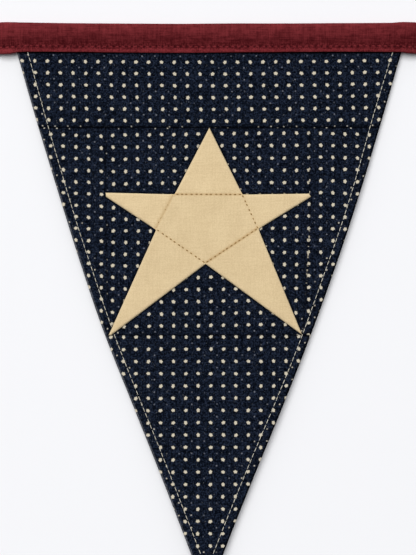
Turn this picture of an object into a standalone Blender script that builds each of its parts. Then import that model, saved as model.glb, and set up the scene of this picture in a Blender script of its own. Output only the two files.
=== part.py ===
"""A patchwork star pennant on its folded binding tape, hanging face on.

Metres, +Z up, the front towards -Y. The origin is the middle of the tape's top edge.
The tables and sizes are in millimetres: across is along X, depth is how far below the tape's top line.
"""

from collections import namedtuple
import math

import bmesh
import bpy

MM = 0.001

# Cloth and seams
CLOTH_THICK = 1.2
STAR_PROUD = 0.4
SEAM_GAP = 0.3
ROLL_WIDTH = 0.7
ROLL_DEPTH = 0.35
HEM_ACROSS = 6.8
HEM_THICK = 0.4
GRID_STEP = 8.0
EDGE_STEP = 10.0
MERGE_DISTANCE = 0.01
HALVINGS = 30
SMOOTH_BELOW_DEGREES = 50.0

# The pennant
PENNANT_TOP = 1.9
TOP_SEAM = 42.6
Side = namedtuple("Side", "depth left right")
SIDES = (
    Side(depth=0.0, left=-82.2, right=82.4),
    Side(depth=11.9, left=-78.8, right=78.9),
    Side(depth=38.1, left=-71.3, right=71.3),
    Side(depth=67.7, left=-62.3, right=62.4),
    Side(depth=97.2, left=-53.1, right=52.7),
    Side(depth=126.7, left=-43.1, right=42.1),
    Side(depth=156.2, left=-31.4, right=30.5),
    Side(depth=185.7, left=-19.6, right=18.4),
    Side(depth=215.3, left=-8.1, right=6.6),
    Side(depth=234.9, left=-0.75, right=-0.75),
)

# The star block: its corners, the star's five tips and the five notches between them
Corner = namedtuple("Corner", "across depth")
BLOCK_TOP_LEFT = Corner(-42.3, TOP_SEAM)
BLOCK_TOP_RIGHT = Corner(40.8, TOP_SEAM)
LEFT_SEAM_MIDDLE = Corner(-41.8, 99.2)
RIGHT_SEAM_MIDDLE = Corner(40.0, 99.2)
TIP_TOP = Corner(0.2, TOP_SEAM)
TIP_RIGHT = Corner(41.8, 70.3)
TIP_LOWER_RIGHT = Corner(38.0, 127.7)
TIP_LOWER_LEFT = Corner(-40.6, 128.0)
TIP_LEFT = Corner(-42.7, 69.8)
NOTCH_UPPER_RIGHT = Corner(13.9, 69.9)
NOTCH_RIGHT = Corner(20.3, 84.3)
NOTCH_BOTTOM = Corner(-1.3, 99.4)
NOTCH_LEFT = Corner(-21.3, 85.0)
NOTCH_UPPER_LEFT = Corner(-13.9, 69.8)

# How the cloth hangs: two soft folds that start below the tape, and a point that stands off the wall
Fold = namedtuple("Fold", "height width lean phase")
FOLDS = (
    Fold(height=0.65, width=124.0, lean=0.30, phase=0.9),
    Fold(height=0.30, width=71.0, lean=-0.45, phase=2.6),
)
LOOSE_FROM = 13.0
LOOSE_OVER = 55.0
POINT_FORWARD = 1.8

# The tape: the section is drawn over the pennant, and its front drops back where no cloth is inside
TAPE_HEIGHT = 12.0
Run = namedtuple("Run", "along top bottom")
TAPE_RUN = (
    Run(along=-129.0, top=0.45, bottom=-12.35),
    Run(along=-105.0, top=0.25, bottom=-12.60),
    Run(along=-85.3, top=0.38, bottom=-12.50),
    Run(along=-81.3, top=0.38, bottom=-12.35),
    Run(along=-77.4, top=0.28, bottom=-11.90),
    Run(along=-56.6, top=-0.04, bottom=-11.95),
    Run(along=-36.1, top=-0.18, bottom=-12.15),
    Run(along=-11.5, top=-0.30, bottom=-12.30),
    Run(along=9.0, top=-0.14, bottom=-12.10),
    Run(along=27.5, top=-0.16, bottom=-12.00),
    Run(along=58.2, top=0.00, bottom=-11.85),
    Run(along=74.6, top=0.12, bottom=-11.90),
    Run(along=78.7, top=0.42, bottom=-11.75),
    Run(along=83.4, top=0.37, bottom=-12.30),
    Run(along=105.0, top=0.20, bottom=-12.50),
    Run(along=129.0, top=0.40, bottom=-12.40),
)
Point = namedtuple("Point", "out down")
TAPE_SECTION = (
    Point(out=-1.75, down=12.0),
    Point(out=-1.95, down=11.0),
    Point(out=-1.60, down=9.7),
    Point(out=-1.90, down=8.4),
    Point(out=-2.05, down=5.2),
    Point(out=-1.85, down=2.2),
    Point(out=-1.15, down=0.6),
    Point(out=0.20, down=0.0),
    Point(out=1.60, down=0.5),
    Point(out=2.30, down=1.8),
    Point(out=2.30, down=12.0),
    Point(out=1.30, down=12.0),
    Point(out=1.30, down=2.0),
    Point(out=0.20, down=1.2),
    Point(out=-0.90, down=2.0),
    Point(out=-0.90, down=12.0),
)
TAPE_STEP = 8.0
SLOT_FRONT = -0.90
SLOT_BACK = 1.30
TAIL_DROP = 1.9
TAIL_FROM = 83.0
TAIL_OVER = 6.0

# Colours as seen, red green blue out of 255
NAVY = (23, 27, 38)
CREAM = (221, 198, 156)
BURGUNDY = (104, 37, 42)
CLOTH_ROUGHNESS = 0.9


def smooth_step(share):
    """0 below 0, 1 above 1 and an even S between."""
    share = min(max(share, 0.0), 1.0)
    return share * share * (3.0 - 2.0 * share)


def read_table(rows, column, at):
    """The value of a column where the table's first column is at, on a smooth curve through the rows."""
    places = [row[0] for row in rows]
    values = [getattr(row, column) for row in rows]
    last = len(rows) - 1
    at = min(max(at, places[0]), places[last])
    start = max(index for index in range(last) if places[index] <= at)

    def slope(index):
        before = max(index - 1, 0)
        after = min(index + 1, last)
        return (values[after] - values[before]) / (places[after] - places[before])

    span = places[start + 1] - places[start]
    share = (at - places[start]) / span
    turn = smooth_step(share)
    from_start = share * (1.0 - share) ** 2 * span * slope(start)
    to_end = share * share * (share - 1.0) * span * slope(start + 1)
    return values[start] * (1.0 - turn) + values[start + 1] * turn + from_start + to_end


def side_edge(side, top, bottom, inward=0.0):
    """Corners down one side edge from top to bottom, moved towards the middle by inward."""
    steps = math.ceil((bottom - top) / EDGE_STEP)
    towards = inward if side == "left" else -inward
    depths = [top + (bottom - top) * step / steps for step in range(steps + 1)]
    return [Corner(read_table(SIDES, side, depth) + towards, depth) for depth in depths]


def hanging_offset(across, depth):
    """How far back the middle of the cloth lies from its flat plane, as it hangs."""
    loose = smooth_step((depth - LOOSE_FROM) / LOOSE_OVER)
    ripple = sum(
        fold.height * math.sin(math.tau * (across + fold.lean * depth) / fold.width + fold.phase)
        for fold in FOLDS
    )
    point = SIDES[-1].depth
    return loose * (ripple - POINT_FORWARD * (depth / point) ** 2)


def linear(colour):
    """A colour as seen, out of 255, as the linear values that a material takes."""
    return tuple(((value / 255.0 + 0.055) / 1.055) ** 2.4 for value in colour)


def cloth_material(name, colour):
    material = bpy.data.materials.new(name)
    material.use_nodes = True
    shader = material.node_tree.nodes["Principled BSDF"]
    shader.inputs["Base Color"].default_value = (*linear(colour), 1.0)
    shader.inputs["Roughness"].default_value = CLOTH_ROUGHNESS
    shader.inputs["Metallic"].default_value = 0.0
    return material


def add_object(name, bm, colour):
    """The finished bmesh, in millimetres, as a named object in metres with its own material."""
    bmesh.ops.triangulate(bm, faces=bm.faces[:])
    bmesh.ops.recalc_face_normals(bm, faces=bm.faces[:])
    bmesh.ops.scale(bm, vec=(MM, MM, MM), verts=bm.verts[:])
    mesh = bpy.data.meshes.new(name)
    bm.to_mesh(mesh)
    bm.free()
    mesh.shade_smooth()
    mesh.set_sharp_from_angle(angle=math.radians(SMOOTH_BELOW_DEGREES))
    mesh.materials.append(cloth_material(name + "_cloth", colour))
    bpy.context.collection.objects.link(bpy.data.objects.new(name, mesh))


def cut_grid(bm):
    """Straight cuts across and down, so that the flat faces can follow the folds."""
    for axis in (0, 2):
        places = [vert.co[axis] for vert in bm.verts]
        first = math.ceil(min(places) / GRID_STEP)
        final = math.floor(max(places) / GRID_STEP)
        normal = [1.0 if axis == index else 0.0 for index in range(3)]
        for line in range(first, final + 1):
            place = [line * GRID_STEP * share for share in normal]
            geometry = bm.verts[:] + bm.edges[:] + bm.faces[:]
            bmesh.ops.bisect_plane(bm, geom=geometry, dist=MERGE_DISTANCE, plane_co=place, plane_no=normal)


def thicken(bm, proud):
    """A back behind the flat front: the front's rim rounds down into the seam, which the star stands out of."""
    front = bm.verts[:]
    rim = {vert for vert in front if vert.is_boundary}
    made = bmesh.ops.extrude_face_region(bm, geom=bm.faces[:])["geom"]
    back = [item for item in made if isinstance(item, bmesh.types.BMVert)]
    for vert in front:
        vert.co.y = -CLOTH_THICK / 2.0
        vert.co.y += ROLL_DEPTH if vert in rim else -proud
    for vert in back:
        vert.co.y = CLOTH_THICK / 2.0
    return [item for item in made if isinstance(item, bmesh.types.BMFace)]


def turn_hem(bm, faces):
    """The turned-back edge of the cloth, as a step on the back."""
    made = bmesh.ops.extrude_face_region(bm, geom=faces)["geom"]
    lifted = [item for item in made if isinstance(item, bmesh.types.BMVert)]
    bmesh.ops.delete(bm, geom=faces, context="FACES")
    bmesh.ops.translate(bm, verts=lifted, vec=(0.0, HEM_THICK, 0.0))


def add_patch(name, colour, cloth, hems=(), proud=0.0):
    """One cut of cloth: its outline, and beside it the outlines of its hems, narrowed at the seams."""
    bm = bmesh.new()
    hem_flag = bm.faces.layers.int.new("hem")
    for outline in (cloth, *hems):
        face = bm.faces.new([bm.verts.new((corner.across, 0.0, -corner.depth)) for corner in outline])
        face[hem_flag] = int(outline is not cloth)
    bmesh.ops.remove_doubles(bm, verts=bm.verts[:], dist=MERGE_DISTANCE)
    bmesh.ops.recalc_face_normals(bm, faces=bm.faces[:])
    spare = bmesh.ops.inset_region(
        bm, faces=bm.faces[:], thickness=SEAM_GAP / 2.0, use_boundary=True, use_even_offset=True
    )["faces"]
    bmesh.ops.delete(bm, geom=spare, context="FACES")
    bmesh.ops.inset_region(
        bm, faces=bm.faces[:], thickness=ROLL_WIDTH, use_boundary=True, use_even_offset=True
    )
    cut_grid(bm)
    bmesh.ops.triangulate(bm, faces=bm.faces[:])
    back = thicken(bm, proud)
    turned = [face for face in back if face[hem_flag]]
    if turned:
        turn_hem(bm, turned)
    for vert in bm.verts:
        vert.co.y += hanging_offset(vert.co.x, -vert.co.z)
    add_object(name, bm, colour)


def add_star():
    """The star's middle and its five points."""
    notches = (NOTCH_UPPER_LEFT, NOTCH_UPPER_RIGHT, NOTCH_RIGHT, NOTCH_BOTTOM, NOTCH_LEFT)
    add_patch("star_middle", CREAM, notches, proud=STAR_PROUD)
    points = (
        ("star_top", TIP_TOP, NOTCH_UPPER_RIGHT, NOTCH_UPPER_LEFT),
        ("star_right", TIP_RIGHT, NOTCH_RIGHT, NOTCH_UPPER_RIGHT),
        ("star_lower_right", TIP_LOWER_RIGHT, NOTCH_BOTTOM, NOTCH_RIGHT),
        ("star_lower_left", TIP_LOWER_LEFT, NOTCH_LEFT, NOTCH_BOTTOM),
        ("star_left", TIP_LEFT, NOTCH_UPPER_LEFT, NOTCH_LEFT),
    )
    for name, *corners in points:
        add_patch(name, CREAM, corners, proud=STAR_PROUD)


def add_block_ground():
    """The five navy patches that fill the block round the star."""
    grounds = (
        ("patch_top_left", BLOCK_TOP_LEFT, TIP_TOP, NOTCH_UPPER_LEFT, TIP_LEFT),
        ("patch_top_right", TIP_TOP, BLOCK_TOP_RIGHT, TIP_RIGHT, NOTCH_UPPER_RIGHT),
        ("patch_left", TIP_LEFT, NOTCH_LEFT, TIP_LOWER_LEFT, LEFT_SEAM_MIDDLE),
        ("patch_right", TIP_RIGHT, RIGHT_SEAM_MIDDLE, TIP_LOWER_RIGHT, NOTCH_RIGHT),
        ("patch_bottom", TIP_LOWER_LEFT, NOTCH_BOTTOM, TIP_LOWER_RIGHT),
    )
    for name, *corners in grounds:
        add_patch(name, NAVY, corners)


def add_top_strip():
    """The strip under the tape, hemmed at both ends."""
    left = side_edge("left", PENNANT_TOP, TOP_SEAM)
    right = side_edge("right", PENNANT_TOP, TOP_SEAM)
    left_hem = side_edge("left", PENNANT_TOP, TOP_SEAM, inward=HEM_ACROSS)
    right_hem = side_edge("right", PENNANT_TOP, TOP_SEAM, inward=HEM_ACROSS)
    hems = (left + left_hem[::-1], right + right_hem[::-1])
    add_patch("top_strip", NAVY, left_hem + right_hem[::-1], hems)


def depth_where_spent(room, low, high):
    """The depth between low and high where room, which shrinks downwards, is used up."""
    for _ in range(HALVINGS):
        middle = (low + high) / 2.0
        if room(middle) > 0.0:
            low = middle
        else:
            high = middle
    return low


def add_side_strip(name, side, block_top, star_tip, seam_middle, block_bottom):
    """A tapering strip beside the block, whose hem runs out where the strip gets narrower than it."""

    def seam_across(depth):
        share = (depth - seam_middle.depth) / (block_bottom.depth - seam_middle.depth)
        return seam_middle.across + share * (block_bottom.across - seam_middle.across)

    def cloth_inside_hem(depth):
        return abs(read_table(SIDES, side, depth)) - HEM_ACROSS - abs(seam_across(depth))

    hem_end = depth_where_spent(cloth_inside_hem, seam_middle.depth, block_bottom.depth)
    meeting = Corner(seam_across(hem_end), hem_end)
    edge = side_edge(side, TOP_SEAM, block_bottom.depth)
    hem_line = side_edge(side, TOP_SEAM, meeting.depth, inward=HEM_ACROSS)[:-1] + [meeting]
    hem = edge + [block_bottom] + hem_line[::-1]
    cloth = hem_line + [seam_middle, star_tip, block_top]
    add_patch(name, NAVY, cloth, (hem,))


def add_bottom_panel():
    """The point under the block: its two hems meet down the middle."""

    def cloth_inside_hems(depth):
        return read_table(SIDES, "right", depth) - read_table(SIDES, "left", depth) - 2.0 * HEM_ACROSS

    tip = Corner(SIDES[-1].left, SIDES[-1].depth)
    left = side_edge("left", TIP_LOWER_LEFT.depth, tip.depth)
    right = side_edge("right", TIP_LOWER_RIGHT.depth, tip.depth)
    hem_end = depth_where_spent(cloth_inside_hems, TIP_LOWER_LEFT.depth, tip.depth)
    left_line = side_edge("left", TIP_LOWER_LEFT.depth, hem_end, inward=HEM_ACROSS)
    right_line = side_edge("right", TIP_LOWER_RIGHT.depth, hem_end, inward=HEM_ACROSS)
    left_line[-1] = right_line[-1]
    cloth = left_line + right_line[-2::-1]
    hems = (left + left_line[::-1], right + right_line[::-1])
    add_patch("bottom_panel", NAVY, cloth, hems)


def tape_places():
    """Where the tape's section is set along its run: at each row of the table and evenly between."""
    places = [TAPE_RUN[0].along]
    for before, after in zip(TAPE_RUN, TAPE_RUN[1:]):
        steps = math.ceil((after.along - before.along) / TAPE_STEP)
        places += [before.along + (after.along - before.along) * step / steps for step in range(1, steps + 1)]
    return places


def shape_tape(vert):
    """Moves a vertex of the straight tape to the height and thickness that the tape has there."""
    along, out, down = vert.co.x, vert.co.y, -vert.co.z
    top = read_table(TAPE_RUN, "top", along)
    bottom = read_table(TAPE_RUN, "bottom", along)
    front_share = min(max((SLOT_BACK - out) / (SLOT_BACK - SLOT_FRONT), 0.0), 1.0)
    empty = smooth_step((abs(along) - TAIL_FROM) / TAIL_OVER)
    vert.co.y = out + TAIL_DROP * empty * front_share
    vert.co.z = top - (top - bottom) * down / TAPE_HEIGHT


def add_tape():
    """The folded tape, drawn as its section and run along the pennant's top."""
    places = tape_places()
    bm = bmesh.new()
    ring = [bm.verts.new((places[0], point.out, -point.down)) for point in TAPE_SECTION]
    edges = [bm.edges.new((ring[index - 1], vert)) for index, vert in enumerate(ring)]
    bmesh.ops.edgeloop_fill(bm, edges=edges)
    for before, after in zip(places, places[1:]):
        made = bmesh.ops.extrude_edge_only(bm, edges=edges)["geom"]
        verts = [item for item in made if isinstance(item, bmesh.types.BMVert)]
        edges = [item for item in made if isinstance(item, bmesh.types.BMEdge) and item.is_boundary]
        bmesh.ops.translate(bm, verts=verts, vec=(after - before, 0.0, 0.0))
    bmesh.ops.edgeloop_fill(bm, edges=edges)
    for vert in bm.verts:
        shape_tape(vert)
    add_object("binding_tape", bm, BURGUNDY)


for item in list(bpy.data.objects):
    bpy.data.objects.remove(item)
add_tape()
add_top_strip()
add_side_strip("left_strip", "left", BLOCK_TOP_LEFT, TIP_LEFT, LEFT_SEAM_MIDDLE, TIP_LOWER_LEFT)
add_side_strip("right_strip", "right", BLOCK_TOP_RIGHT, TIP_RIGHT, RIGHT_SEAM_MIDDLE, TIP_LOWER_RIGHT)
add_block_ground()
add_star()
add_bottom_panel()
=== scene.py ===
from collections import namedtuple
import math
import random

import bmesh
import bpy
from mathutils import Matrix, Vector, noise


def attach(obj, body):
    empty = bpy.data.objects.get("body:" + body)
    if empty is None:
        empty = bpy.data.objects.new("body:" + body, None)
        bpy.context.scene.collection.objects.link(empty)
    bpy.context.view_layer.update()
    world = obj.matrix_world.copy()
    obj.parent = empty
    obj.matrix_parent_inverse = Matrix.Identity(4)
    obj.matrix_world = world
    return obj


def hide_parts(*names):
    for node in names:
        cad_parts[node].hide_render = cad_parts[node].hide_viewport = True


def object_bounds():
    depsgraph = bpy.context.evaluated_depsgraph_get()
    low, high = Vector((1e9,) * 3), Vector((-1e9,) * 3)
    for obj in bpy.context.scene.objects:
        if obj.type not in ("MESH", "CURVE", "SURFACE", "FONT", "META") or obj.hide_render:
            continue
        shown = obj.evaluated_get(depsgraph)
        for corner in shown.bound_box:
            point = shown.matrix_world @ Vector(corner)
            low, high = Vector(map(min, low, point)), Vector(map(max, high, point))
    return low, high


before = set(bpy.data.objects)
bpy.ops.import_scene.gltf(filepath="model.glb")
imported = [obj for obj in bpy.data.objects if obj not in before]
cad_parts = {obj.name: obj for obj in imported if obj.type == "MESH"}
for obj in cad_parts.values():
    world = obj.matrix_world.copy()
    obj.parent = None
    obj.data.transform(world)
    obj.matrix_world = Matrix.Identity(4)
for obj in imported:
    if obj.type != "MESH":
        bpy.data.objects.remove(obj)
cad_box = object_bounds()

# The star: a five-sided middle and five points of plain cream cotton, pieced by machine. Their seam
# allowances are pressed behind them, so the star stands a little in front of its ground.

# Sizes are in millimetres. Across runs to the right from the tape's middle, depth down from its top edge,
# and a level is how far back a face lies before the cloth hangs in its folds.
MM = 0.001
BODY = "root"
FRONT_LEVEL = -0.6
BACK_LEVEL = 0.0
STAR_PROUD = 0.4
GRID_STEP = 1.2
MERGE_DISTANCE = 0.01
CREASE_DEGREES = 45.0
TOP_SEAM = 42.85
Corner = namedtuple("Corner", "across depth")
TIP_TOP = Corner(0.15, TOP_SEAM)
TIP_RIGHT = Corner(41.05, 70.0)
TIP_RIGHT_LOW = Corner(41.75, 71.35)
TIP_LOWER_RIGHT = Corner(38.2, 127.9)
TIP_LOWER_LEFT_INNER = Corner(-40.25, 128.1)
TIP_LOWER_LEFT = Corner(-41.2, 128.1)
TIP_LEFT_LOW = Corner(-42.25, 71.3)
TIP_LEFT = Corner(-42.4, 69.55)
NOTCH_UPPER_RIGHT = Corner(13.76, 70.3)
NOTCH_RIGHT = Corner(20.3, 84.5)
NOTCH_BOTTOM = Corner(-1.38, 98.85)
NOTCH_LEFT = Corner(-21.7, 84.85)
NOTCH_UPPER_LEFT = Corner(-14.1, 70.25)
NOTCHES = (NOTCH_UPPER_LEFT, NOTCH_UPPER_RIGHT, NOTCH_RIGHT, NOTCH_BOTTOM, NOTCH_LEFT)

# The pennant's two side edges, which every cut of cloth is measured from
Side = namedtuple("Side", "depth left right")
SIDES = (
    Side(depth=0.0, left=-82.2, right=82.4),
    Side(depth=11.9, left=-78.8, right=78.9),
    Side(depth=38.1, left=-71.3, right=71.3),
    Side(depth=67.7, left=-62.3, right=62.4),
    Side(depth=97.2, left=-53.1, right=52.7),
    Side(depth=126.7, left=-43.1, right=42.1),
    Side(depth=156.2, left=-31.4, right=30.5),
    Side(depth=185.7, left=-19.6, right=18.4),
    Side(depth=215.3, left=-8.1, right=6.6),
    Side(depth=234.9, left=-0.75, right=-0.75),
)

# The cosine of the side edges' slant
SIDE_LEAN = 0.94

# How the cloth hangs: two soft folds from below the tape, a point that stands off the wall, and the
# small unevenness of pressed cotton
Fold = namedtuple("Fold", "height width lean phase")
FOLDS = (
    Fold(height=0.65, width=124.0, lean=0.30, phase=0.9),
    Fold(height=0.30, width=71.0, lean=-0.45, phase=2.6),
)
LOOSE_FROM = 13.0
LOOSE_OVER = 55.0
POINT_FORWARD = 1.8
Unevenness = namedtuple("Unevenness", "height width")
UNEVEN = (Unevenness(height=0.16, width=19.0), Unevenness(height=0.05, width=6.0))

# The row of topstitching inside each side edge: how far in it lies, straight across
Topstitch = namedtuple("Topstitch", "depth left right")
TOPSTITCH = (
    Topstitch(depth=12.0, left=4.50, right=3.60),
    Topstitch(depth=36.0, left=4.20, right=4.05),
    Topstitch(depth=56.0, left=3.95, right=3.75),
    Topstitch(depth=80.0, left=3.75, right=3.40),
    Topstitch(depth=103.0, left=3.95, right=3.60),
    Topstitch(depth=130.0, left=3.90, right=3.50),
    Topstitch(depth=148.0, left=3.80, right=3.65),
    Topstitch(depth=173.0, left=3.90, right=4.00),
    Topstitch(depth=226.0, left=3.95, right=4.20),
)
TROUGH_DEEP = 0.12
TROUGH_HALF_WIDTH = 0.9

# How a patch rounds down into its seams: how far in each ring lies and the share of the drop there
Ring = namedtuple("Ring", "inward share")
ROLL = (
    Ring(inward=0.0, share=1.0),
    Ring(inward=0.12, share=0.55),
    Ring(inward=0.36, share=0.20),
    Ring(inward=0.85, share=0.0),
)
SEAM_REACH = 0.9
# A seam between two corners: how far the cloth drops into it, and how dark a painted shade makes it
Seam = namedtuple("Seam", "start end drop crease")
RIGHT_SIDE = 0
WRONG_SIDE = 1

# A side hem is turned to the back: how wide it is, how thick, and how its folded edge is rounded
HEM_ACROSS = 6.8
HEM_THICK = 0.45
HEM_EDGE_ROUND = 0.22
HEM_EDGE_WIDTH = 0.6


def smooth_step(share):
    """0 below 0, 1 above 1 and an even S between."""
    share = min(max(share, 0.0), 1.0)
    return share * share * (3.0 - 2.0 * share)


def read_table(rows, column, at):
    """The value of a column where the table's first column is at, on a smooth curve through the rows."""
    last = len(rows) - 1
    at = min(max(at, rows[0][0]), rows[last][0])
    start = 0
    while start < last - 1 and rows[start + 1][0] <= at:
        start += 1

    def slope(index):
        before = rows[max(index - 1, 0)]
        after = rows[min(index + 1, last)]
        return (getattr(after, column) - getattr(before, column)) / (after[0] - before[0])

    span = rows[start + 1][0] - rows[start][0]
    share = (at - rows[start][0]) / span
    turn = smooth_step(share)
    from_start = share * (1.0 - share) ** 2 * span * slope(start)
    to_end = share * share * (share - 1.0) * span * slope(start + 1)
    ends = getattr(rows[start], column) * (1.0 - turn) + getattr(rows[start + 1], column) * turn
    return ends + from_start + to_end


def inside_edge(across, depth):
    """How far a place lies inside the nearer side edge, straight across, and which side that is."""
    left = across - read_table(SIDES, "left", depth)
    right = read_table(SIDES, "right", depth) - across
    return (left, "left") if left < right else (right, "right")


def hanging_offset(across, depth):
    """How far back the cloth lies from its flat plane, as it hangs."""
    loose = smooth_step((depth - LOOSE_FROM) / LOOSE_OVER)
    ripple = sum(
        fold.height * math.sin(math.tau * (across + fold.lean * depth) / fold.width + fold.phase)
        for fold in FOLDS
    )
    uneven = sum(
        bump.height * noise.noise(Vector((across / bump.width, depth / bump.width, bump.width)))
        for bump in UNEVEN
    )
    forward = POINT_FORWARD * (depth / SIDES[-1].depth) ** 2
    return loose * (ripple - forward) + smooth_step(depth / LOOSE_FROM) * uneven


def trough(across, depth):
    """How deep the topstitching pulls the cloth in at a place."""
    inside, side = inside_edge(across, depth)
    aside = inside - read_table(TOPSTITCH, side, depth)
    return TROUGH_DEEP * math.exp(-(aside / TROUGH_HALF_WIDTH) ** 2)


def distance_to(line, across, depth):
    """How far a place lies from the straight line between two corners, which come first in line."""
    start = Vector(line[0])
    run = Vector(line[1]) - start
    place = Vector((across, depth))
    share = min(max((place - start).dot(run) / run.length_squared, 0.0), 1.0)
    return (place - start - run * share).length


def cut_grid(bm, step):
    """Straight cuts across and down, so that the sheet can follow its folds."""
    for axis in (0, 2):
        places = [vert.co[axis] for vert in bm.verts]
        normal = [1.0 if axis == index else 0.0 for index in range(3)]
        for line in range(math.ceil(min(places) / step), math.floor(max(places) / step) + 1):
            place = [line * step * share for share in normal]
            geometry = bm.verts[:] + bm.edges[:] + bm.faces[:]
            bmesh.ops.bisect_plane(bm, geom=geometry, dist=MERGE_DISTANCE, plane_co=place, plane_no=normal)


def edge_share(to_edge):
    """The share of the edge's drop at a distance inside the edge."""
    for outer, inner in zip(ROLL, ROLL[1:]):
        if to_edge < inner.inward:
            between = (to_edge - outer.inward) / (inner.inward - outer.inward)
            return outer.share + (inner.share - outer.share) * between
    return 0.0


def flat_patch(cloth, hems=()):
    """The cut of cloth and its side hems laid flat, with the faces that are hem marked, and its border."""
    bm = bmesh.new()
    turned = bm.faces.layers.int.new("turned")
    for outline in (cloth, *hems):
        face = bm.faces.new([bm.verts.new((corner.across, 0.0, -corner.depth)) for corner in outline])
        face[turned] = int(outline is not cloth)
    bmesh.ops.remove_doubles(bm, verts=bm.verts[:], dist=MERGE_DISTANCE)
    bmesh.ops.recalc_face_normals(bm, faces=bm.faces[:])
    border = [
        [Corner(vert.co.x, -vert.co.z) for vert in edge.verts] for edge in bm.edges if edge.is_boundary
    ]
    middle = bm.faces[:]
    for outer, inner in zip(ROLL, ROLL[1:]):
        bmesh.ops.inset_region(
            bm, faces=middle, thickness=inner.inward - outer.inward, use_boundary=True, use_even_offset=True
        )
    cut_grid(bm, GRID_STEP)
    return bm, turned, border


def drape_patch(bm, turned, border, proud, hem_drop, seams):
    """Gives the flat patch its rounded front, its back, its turned hem and the folds it hangs in."""
    # Painted shade strength by the nearest seam, painted edge highlight and shade at free edges, and the
    # hem
    crease = bm.verts.layers.float.new("crease")
    painted_edge_shading = bm.verts.layers.float.new("painted_edge_shading")
    hemmed = bm.verts.layers.float.new("hemmed")
    for vert in bm.verts:
        across, depth = vert.co.x, -vert.co.z
        share = edge_share(min(distance_to(edge, across, depth) for edge in border))
        seam = min(seams, key=lambda line: distance_to(line, across, depth))
        to_seam = distance_to(seam, across, depth) / SEAM_REACH
        vert[crease] = seam.crease * max(1.0 - to_seam, 0.0)
        vert[painted_edge_shading] = share if to_seam > 1.0 else 0.0
        vert[hemmed] = smooth_step(HEM_ACROSS - inside_edge(across, depth)[0])
        vert.co.y = FRONT_LEVEL - proud + share * (seam.drop if to_seam < 1.0 else hem_drop)
        vert.co.y += trough(across, depth)
    made = bmesh.ops.extrude_face_region(bm, geom=bm.faces[:])["geom"]
    back = [item for item in made if isinstance(item, bmesh.types.BMVert)]
    behind = [item for item in made if isinstance(item, bmesh.types.BMFace)]
    for vert in back:
        vert.co.y = BACK_LEVEL
    for face in behind:
        face.material_index = WRONG_SIDE
    hem = [face for face in behind if face[turned]]
    if hem:
        turn_hem(bm, hem)
    for vert in bm.verts:
        vert.co.y += hanging_offset(vert.co.x, -vert.co.z)
    bmesh.ops.recalc_face_normals(bm, faces=bm.faces[:])


def turn_hem(bm, faces):
    """The side hem, folded to the back right side out, rounded at the fold and held by the topstitch."""
    made = bmesh.ops.extrude_face_region(bm, geom=faces)["geom"]
    bmesh.ops.delete(bm, geom=faces, context="FACES")
    for item in made:
        if isinstance(item, bmesh.types.BMFace):
            item.material_index = RIGHT_SIDE
        if isinstance(item, bmesh.types.BMVert):
            inside = inside_edge(item.co.x, -item.co.z)[0] * SIDE_LEAN
            rounding = max(1.0 - inside / HEM_EDGE_WIDTH, 0.0) ** 2
            item.co.y += HEM_THICK - HEM_EDGE_ROUND * rounding - trough(item.co.x, -item.co.z)


def add_piece(name, bm, materials):
    """The finished bmesh, in millimetres, as a piece in metres that rides with the bunting."""
    bmesh.ops.scale(bm, vec=(MM, MM, MM), verts=bm.verts[:])
    mesh = bpy.data.meshes.new(name)
    bm.to_mesh(mesh)
    bm.free()
    mesh.shade_smooth()
    mesh.set_sharp_from_angle(angle=math.radians(CREASE_DEGREES))
    for material in materials:
        mesh.materials.append(material)
    piece = bpy.data.objects.new(name, mesh)
    bpy.context.scene.collection.objects.link(piece)
    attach(piece, BODY)
    return piece


def edges_of(outline):
    """The straight edges of a closed outline."""
    return list(zip(outline, [*outline[1:], outline[0]]))


def outline_area(outline):
    """The area of a flat outline in square millimetres."""
    return abs(sum(a.across * b.depth - b.across * a.depth for a, b in edges_of(outline))) / 2.0


def add_cloth(name, bm, materials, outlines):
    """A cut of cloth that stands for its solid, which is hidden; its flat width, length and area are
    unused.
    """
    piece = add_piece(name, bm, materials)
    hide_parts(name.removesuffix("_cloth"))
    corners = [corner for outline in outlines for corner in outline]
    width = max(corner.across for corner in corners) - min(corner.across for corner in corners)
    length = max(corner.depth for corner in corners) - min(corner.depth for corner in corners)
    area = sum(outline_area(outline) for outline in outlines)
    width * MM
    length * MM
    area * MM * MM
    return piece


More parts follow.
